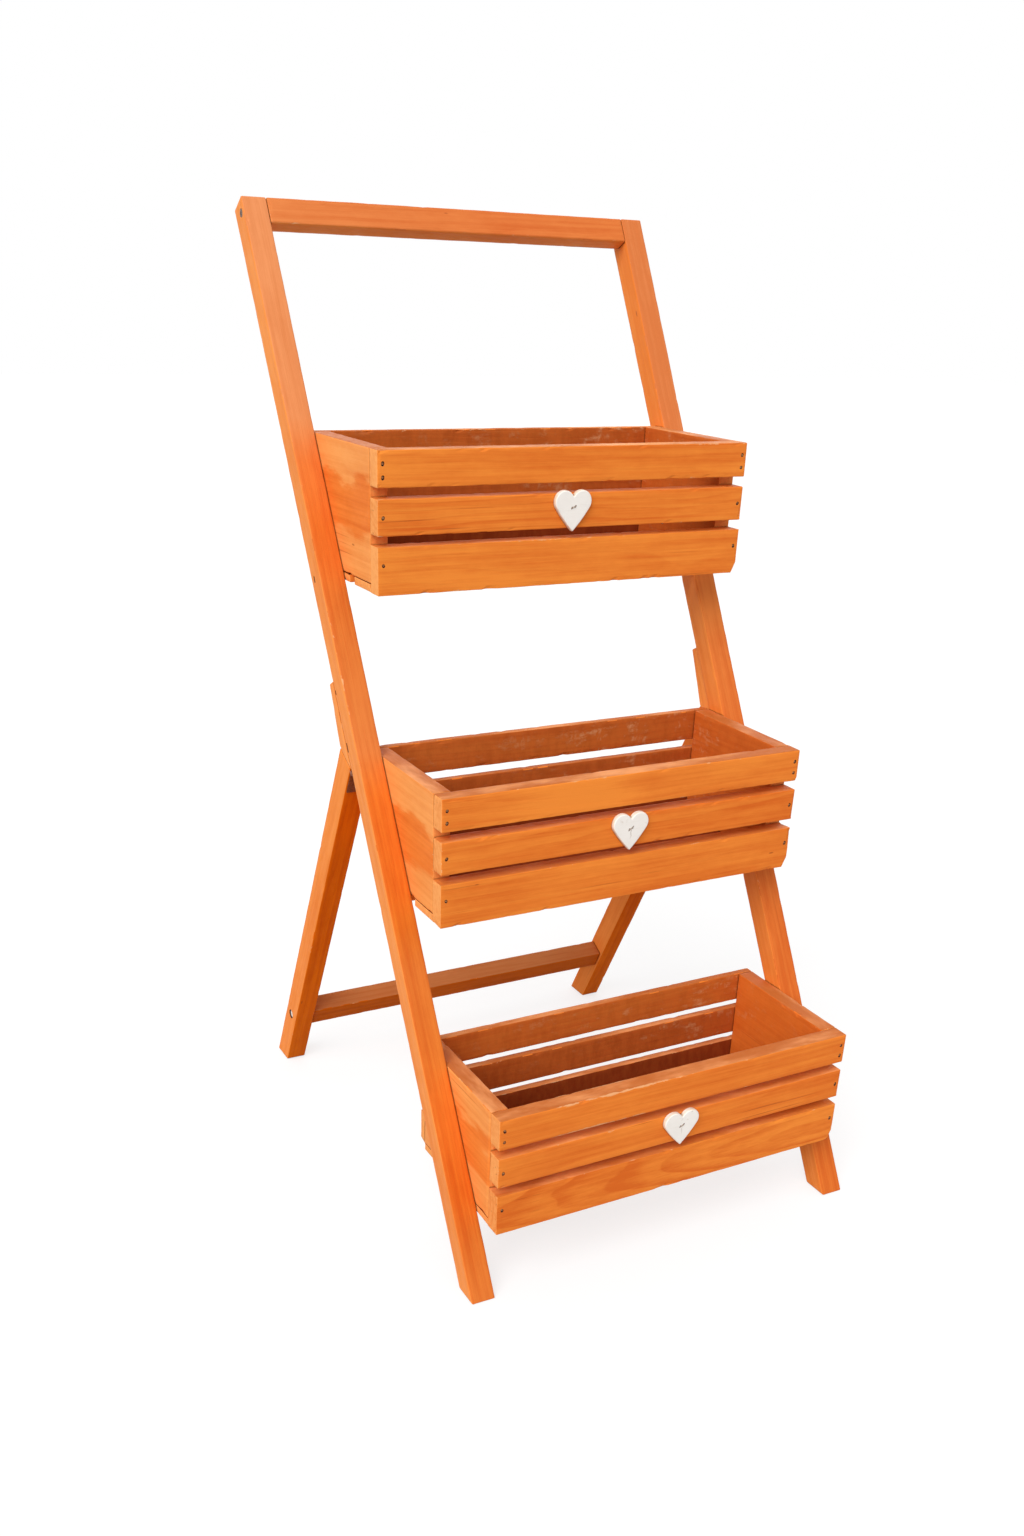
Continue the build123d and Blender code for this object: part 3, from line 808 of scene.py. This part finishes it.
def board(
    node,
    through,
    grain,
    material,
    slot,
    seed,
    tones=EVEN,
    painted_sheen=EVEN,
    red=EVEN,
    worn=EVEN,
    inner=NOWHERE,
    inner_shade=1.0,
    outer=NOWHERE,
    edges=0.0,
    figure=0.0,
    sweep=0.0,
    pith=None,
    arris=0.0013,
    chips=0.0035,
):
    """A board with softened, slightly chipped arrises, for a node with a straight outline.

    through is the axis that the outline runs along. tones, painted_sheen, red and worn are pairs of
    a place from 0 to 1 along the grain and an amount there. inner is the direction that its rough
    inner face looks in, inner_shade how much painted shade darkens that face, outer the direction
    of its side that takes painted light, and edges how strongly a painted reflection of the sky
    shows on its upward faces. figure is how strongly its growth rings show, sweep how far they
    cross the board, in parts of its length, and pith how far behind it they are centred, if that is
    set. chips is how deep the dents in its arrises go.
    """
    dice = random.Random(seed)
    points = np.array([vert.co for vert in nodes[node].data.vertices])
    starts = points @ np.array(grain)
    start, length = float(starts.min()), float(starts.max() - starts.min())
    bm, planes = blank(points, through)
    cut_strips(bm, planes, grain, start, length)
    odd = Vector([dice.uniform(-50, 50) for _ in range(3)])
    soften(bm, planes, arris, chips, odd)
    # The recesses take the second material, the holes' painted shade
    piece = new_piece("wood_" + node, bm, material, recess_shade)
    cut_recesses(piece, points.min(0), points.max(0))
    mesh = piece.data
    mesh.name = "wood_" + node

    # Places in the grain, with the growth rings' centre off the board
    co = np.empty(len(mesh.vertices) * 3)
    mesh.vertices.foreach_get("co", co)
    co = co.reshape(-1, 3)
    side = grain.cross(ACROSS if abs(grain.x) < 0.5 else UPWARD).normalized()
    third = grain.cross(side).normalized()
    local = (co - points.mean(0)) @ np.array([grain, side, third]).T
    turn = dice.uniform(0, 2 * math.pi)
    away = dice.uniform(0.045, 0.09)
    if pith is not None:
        turn, away = 0.0, pith
    centre = np.array([dice.uniform(-40, 40), away * math.cos(turn), away * math.sin(turn)])
    grain_values = local + centre
    grain_values[:, 1] += (sweep + dice.uniform(-0.012, 0.012)) * local[:, 0]

    # Wear near the arrises, and what changes along the board
    distances = [np.abs((co - np.array(middle)) @ np.array(normal)) for middle, normal in planes]
    distances = np.sort(np.stack(distances, 1), 1)
    to_arris = np.hypot(distances[:, 0], distances[:, 1])
    share = ((co @ np.array(grain)) - start) / length
    wear = np.clip(1 - to_arris / ARRIS_STRIP, 0, 1) * (1 + np.interp(share, *zip(*worn)))
    tone = np.interp(share, *zip(*tones)) + dice.uniform(-0.06, 0.06)
    for name, values in (
        ("grain", grain_values),
        ("share", (local - local.min(0)) / np.ptp(local, 0)),
        ("wear", wear),
        ("figure", np.full(len(co), figure)),
        ("tone", tone),
        ("painted_sheen", np.interp(share, *zip(*painted_sheen))),
        ("red", np.interp(share, *zip(*red))),
    ):
        write_values(mesh, "POINT", name, values)

    # Which faces are rough inner faces, which take painted light on the lit side, which look up for
    # the painted sky reflection, and which are end grain
    facing = np.array([polygon.normal for polygon in mesh.polygons])
    for name, values in (
        ("inside", (facing @ np.array(inner) > LOOKS) * inner_shade),
        ("painted_lit_side", facing @ np.array(outer) > LOOKS),
        ("upper", (facing[:, 2] > LOOKS_UP) * edges),
        ("end", np.abs(facing @ np.array(grain)) > LOOKS_ALONG),
    ):
        write_values(mesh, "FACE", name, values)
    stand_for(piece, node)


# Legs, rail and stretcher
FRAME_CHIPS = 0.0012
frame_edges = {"arris": 0.0016, "chips": FRAME_CHIPS}
# Along each front leg: tones, and how much painted sheen, a painted reflection, lies on it
leg_looks = {
    "left": {
        "tones": (
            (0, 0.1), (0.1, 0.34), (0.15, 0.1), (0.46, 0.08),
            (0.55, 0), (0.62, 0.15), (0.76, 0.22), (0.8, 0),
        ),
        "painted_sheen": (
            (0, 0.2), (0.1, 0), (0.3, 0.15), (0.34, 0), (0.46, 0.04),
            (0.5, 0.36), (0.7, 0.1), (0.76, 0.3), (0.8, 0.9), (1, 1),
        ),
    },
    "right": {
        # The dip to -0.25 between 0.6 and 0.65 is painted light: it lightens the leg where the
        # upper box's shadow falls
        "tones": (
            (0, 0.3), (0.5, 0.6), (0.57, 0.4), (0.6, -0.25),
            (0.65, -0.25), (0.67, 0.4), (0.8, 0.55), (1, 0.5),
        ),
        "painted_sheen": ((0, 0.15), (0.55, 0.3), (0.7, 0.2), (0.78, 0.85), (1, 0.8)),
    },
}
seeds = iter(range(100, 1000))
# Front legs: painted light on their left-facing side
for side in SIDES:
    board(
        f"front_leg_{side}", X, FRONT_GRAIN, frame_wood, FRAME_SLOT, next(seeds),
        outer=-ACROSS, **leg_looks[side], **frame_edges,
    )
# Rear legs: painted sheen towards their feet and painted light on their left-facing side; the
# cleats get the same painted light
for side, tone in (("left", 0.0), ("right", 0.15)):
    board(
        f"rear_leg_{side}", X, REAR_GRAIN, rear_wood, FRAME_SLOT, next(seeds),
        outer=-ACROSS, tones=((0, tone), (1, tone)), painted_sheen=((0, 0.5), (0.3, 0.1), (1, 0)),
        **frame_edges,
    )
    board(
        f"hinge_cleat_{side}", X, FRONT_GRAIN, frame_wood, FRAME_SLOT, next(seeds), outer=-ACROSS
    )
# The rail: painted sheen along it, and painted light on its face that looks down along the front
# legs
board(
    "top_rail", X, ACROSS, frame_wood, FRAME_SLOT, next(seeds), outer=-FRONT_GRAIN,
    tones=((0, 0), (0.2, 0.2), (0.45, 0.4), (0.6, 0.25), (1, 0.2)),
    painted_sheen=((0, 0.6), (0.45, 0.5), (1, 0.4)),
    red=((0.5, 0), (0.65, 0.2), (0.8, 0)),
    **frame_edges,
)
# The stretcher: painted light on its face that looks up along the rear legs
board(
    "rear_stretcher", X, ACROSS, stretcher_wood, FRAME_SLOT, next(seeds),
    outer=REAR_GRAIN, chips=FRAME_CHIPS,
)

# What only some slats have: tones along their length, worn stretches, and growth rings that show
slat_looks = {
    "upper_box_front_slat_top": {"tones": ((0, -0.15), (0.3, -0.1), (0.5, 0.05), (1, 0))},
    "upper_box_front_slat_middle": {"figure": 0.2},
    "upper_box_front_slat_bottom": {"tones": ((0, -0.3), (0.5, -0.15), (1, 0))},
    "middle_box_front_slat_top": {
        "tones": ((0, 0), (0.25, -0.25), (0.42, -0.4), (0.55, 0), (1, 0.1)),
    },
    "middle_box_front_slat_middle": {
        "tones": ((0, 0), (0.6, 0.15), (1, 0.25)), "figure": 0.2, "sweep": 0.015,
    },
    "middle_box_front_slat_bottom": {"tones": ((0, 0), (0.3, 0.1), (1, 0.15))},
    "lower_box_front_slat_top": {
        "tones": ((0, 0.15), (1, 0.2)), "worn": ((0.1, 0), (0.18, 1), (0.36, 1), (0.42, 0)),
    },
    "lower_box_front_slat_middle": {"tones": ((0, 0.12), (1, 0.22))},
    "lower_box_front_slat_bottom": {
        "tones": ((0, 0.25), (0.5, 0.22), (0.75, 0.0), (1, -0.15)),
        "figure": 0.34, "sweep": -0.06, "pith": 0.03,
    },
}

# Boxes, whose inner faces get more painted shade further down
LOW_INNER_SHADE, MIDDLE_INNER_SHADE = 1.5, 1.15
for tier, panel_inner_shade, top_inner_shade in zip(TIERS, (0.35, 0.7, 0.8), (0.9, 1.0, 1.05)):
    for side in SIDES:
        board(
            f"{tier}_box_panel_{side}", X, DEPTHWISE, panel_wood, BOX_SLOT, next(seeds),
            inner=-OUTWARD[side], inner_shade=panel_inner_shade, outer=OUTWARD[side], edges=1.0,
        )
    for face, inner in (("front", DEPTHWISE), ("back", -DEPTHWISE)):
        for row, inner_shade in (("bottom", LOW_INNER_SHADE), ("middle", MIDDLE_INNER_SHADE), ("top", top_inner_shade)):
            node = f"{tier}_box_{face}_slat_{row}"
            # The front's lower rows take less of the painted sky reflection, as the slat above
            # shades them
            board(
                node, Y, ACROSS, box_wood, BOX_SLOT, next(seeds), inner=inner, inner_shade=inner_shade,
                edges=0.65 if face == "front" and row != "top" else 1.0,
                **slat_looks.get(node, {}),
            )
    for number in (1, 2, 3):
        board(
            f"{tier}_box_floor_board_{number}", X, ACROSS, box_wood, BOX_SLOT, next(seeds),
            inner=UPWARD, inner_shade=LOW_INNER_SHADE,
        )


# Nails, screws and staples

def nails(node, length, seed):
    """Nails, each driven a little below the surface and not quite square.

    Chamfer, head, neck and shank run between two depths, and from one share of the head's radius
    to another.
    """
    dice = random.Random(seed)
    head_share, askew = 0.74, 7
    bm = bmesh.new()
    for head, direction, radius in fasteners(node):
        lean = Matrix.Rotation(math.radians(dice.uniform(-askew, askew)), 4, ACROSS)
        lean = lean @ Matrix.Rotation(math.radians(dice.uniform(-askew, askew)), 4, DEPTHWISE)
        aside = Vector((dice.uniform(0.0001, 0.0005), 0, dice.uniform(-0.0005, 0.0005)))
        sunk = head + aside + direction * dice.uniform(0.0006, 0.001)
        place = turned_to(direction, sunk) @ lean
        for start, stop, first, last in (
            (0.0, 0.00025, 0.65, 1.0),
            (0.00025, 0.0009, 1.0, 0.95),
            (0.0009, 0.0016, 0.95, 0.5),
            (0.0016, length, 0.5, 0.45),
        ):
            bmesh.ops.create_cone(
                bm,
                cap_ends=True,
                segments=14,
                radius1=radius * head_share * first,
                radius2=radius * head_share * last,
                depth=stop - start,
                matrix=place @ Matrix.Translation((0, 0, (start + stop) / 2)),
            )
    bmesh.ops.remove_doubles(bm, verts=bm.verts, dist=WELD)
    stand_for(new_piece("driven_" + node, bm, nail_steel), node)


def domed_screws(node, rise, length):
    """Screws with low domed heads, raised from the solids' heads to just below the surface.

    Each pair of their profile is a share of the head's radius and a depth.
    """
    profile = (
        (0.3, 0.0), (0.7, 0.0002), (0.92, 0.0005), (1.0, 0.0011),
        (1.0, 0.0024), (0.45, 0.0026), (0.42, length),
    )
    bm = bmesh.new()
    for head, direction, radius in fasteners(node):
        place = turned_to(direction, head - direction * rise)
        rings = []
        for share, depth in profile:
            ring = []
            for angle in round_angles(24):
                x, y = math.cos(angle) * radius * share, math.sin(angle) * radius * share
                ring.append(bm.verts.new(place @ Vector((x, y, depth))))
            rings.append(ring)
        close_tube(bm, rings)
    bmesh.ops.recalc_face_normals(bm, faces=bm.faces)
    stand_for(new_piece("domed_" + node, bm, bolt_steel), node)


def staples(node, solids, slopes):
    """Staples of round wire, each put in a little askew.

    The wire's path is places across and their depth, in along one leg, over the crown and back.
    """
    inset, half_wire = 0.0009, 0.00045
    bm = bmesh.new()
    for points, slope in zip(solids, slopes):
        crown = (points.max(0) + points.min(0)) / 2
        front = points[:, 1].min() + inset
        reach = (points[:, 0].max() - points[:, 0].min()) / 2 - half_wire
        path = [
            (-reach, 0.011),
            (-reach, 0.0001),
            (-reach + 0.0001, -0.0003),
            (-reach + 0.0004, -0.00045),
        ]
        path += [(-x, depth) for x, depth in reversed(path)]
        rings = []
        for index, (x, depth) in enumerate(path):
            before, after = path[max(index - 1, 0)], path[min(index + 1, len(path) - 1)]
            run = Vector((after[0] - before[0], after[1] - before[1], 0)).normalized()
            beside = Vector((-run.y, run.x, 0))
            middle = Vector((crown[0] + x, front + depth, crown[2] + x * slope))
            ring = []
            for angle in round_angles(8):
                spoke = beside * math.cos(angle) + UPWARD * math.sin(angle)
                ring.append(bm.verts.new(middle + spoke * WIRE_RADIUS))
            rings.append(ring)
        close_tube(bm, rings)
    bmesh.ops.recalc_face_normals(bm, faces=bm.faces)
    for face in bm.faces:
        face.smooth = True
    stand_for(new_piece("wire_" + node, bm, wire_steel), node)


nails("slat_nails", length=0.034, seed=1)
nails("floor_nails", length=0.023, seed=2)
domed_screws("stretcher_screws", rise=0.0022, length=0.038)
staple_slopes = (0.5, 0.62, 0.42)
staple_solids = sorted(islands("heart_staples"), key=lambda points: points[:, 2].mean())
staples("heart_staples", staple_solids, staple_slopes)

# Hearts and the other hardware keep the solids' shapes
coats = {node: zinc for node in ("hinge_fixed_screws", "hinge_moving_screws")}
coats |= {node: stained_steel for node in ("cleat_screws", "box_screws")}
coats["rail_screws"] = dark_steel
# The hinges take the dark brown painted shade of the V they sit in
for part in ("fixed_leaf", "moving_leaf", "pin"):
    for side in SIDES:
        coats[f"hinge_{part}_{side}"] = shade_brown_steel
cracks = (0.35, 0.6, 0.0)
for tier, points, slope, crack in zip(TIERS, staple_solids, staple_slopes, cracks):
    height = float(points[:, 2].mean())
    coats[f"{tier}_box_heart"] = heart_material(f"{tier}_heart_paint", height, slope, crack)
for node, material in coats.items():
    mesh = nodes[node].data
    mesh.materials.clear()
    mesh.materials.append(material)

# Floor and light
bm = bmesh.new()
bmesh.ops.create_grid(bm, x_segments=8, y_segments=8, size=14)
floor = new_piece("studio_floor", bm, floor_material())
floor.location.z = -0.0005

world = bpy.data.worlds.new("studio")
bpy.context.scene.world = world
world.use_nodes = True
tree = world.node_tree
tree.nodes.clear()
background = tree.nodes.new("ShaderNodeBackground")
background.inputs["Color"].default_value = (1, 1, 1, 1)
light_given, white = 0.6, 1.0
glow = span(tree, seen_directly(tree), 0.0, 1.0, light_given, white)
tree.links.new(glow, background.inputs["Strength"])
output = tree.nodes.new("ShaderNodeOutputWorld")
tree.links.new(background.outputs[0], output.inputs["Surface"])


def sun(name, towards, strength, spread):
    data = bpy.data.lights.new(name, "SUN")
    data.energy = strength
    data.angle = math.radians(spread)
    lamp = bpy.data.objects.new(name, data)
    lamp.rotation_euler = Vector(towards).to_track_quat("-Z", "Y").to_euler()
    bpy.context.scene.collection.objects.link(lamp)


sun("key", towards=(0.7, 0.54, -0.75), strength=2.35, spread=48)
sun("fill", towards=(-0.5, -0.8, -0.6), strength=0.4, spread=60)

# Camera, at the photograph's viewing angle
camera_place = Vector((-0.78446, -1.34854, 0.96753))
yaw, pitch, roll = (math.radians(angle) for angle in (-28.75, -27.26, 2.16))
level = Vector((math.cos(yaw), math.sin(yaw), 0))
forward = Vector(
    (-math.sin(yaw) * math.cos(pitch), math.cos(yaw) * math.cos(pitch), math.sin(pitch))
)
above = level.cross(forward)
right = level * math.cos(roll) + above * math.sin(roll)
up = above * math.cos(roll) - level * math.sin(roll)
lens = bpy.data.cameras.new("photo_camera")
lens.sensor_width = 36
lens.lens = 32.654
lens.shift_y = 0.151
camera = bpy.data.objects.new("photo_camera", lens)
bpy.context.scene.collection.objects.link(camera)
axes = Matrix((right, up, -forward)).transposed().to_4x4()
camera.matrix_world = Matrix.Translation(camera_place) @ axes
bpy.context.scene.camera = camera
bpy.context.scene.view_settings.view_transform = "Standard"
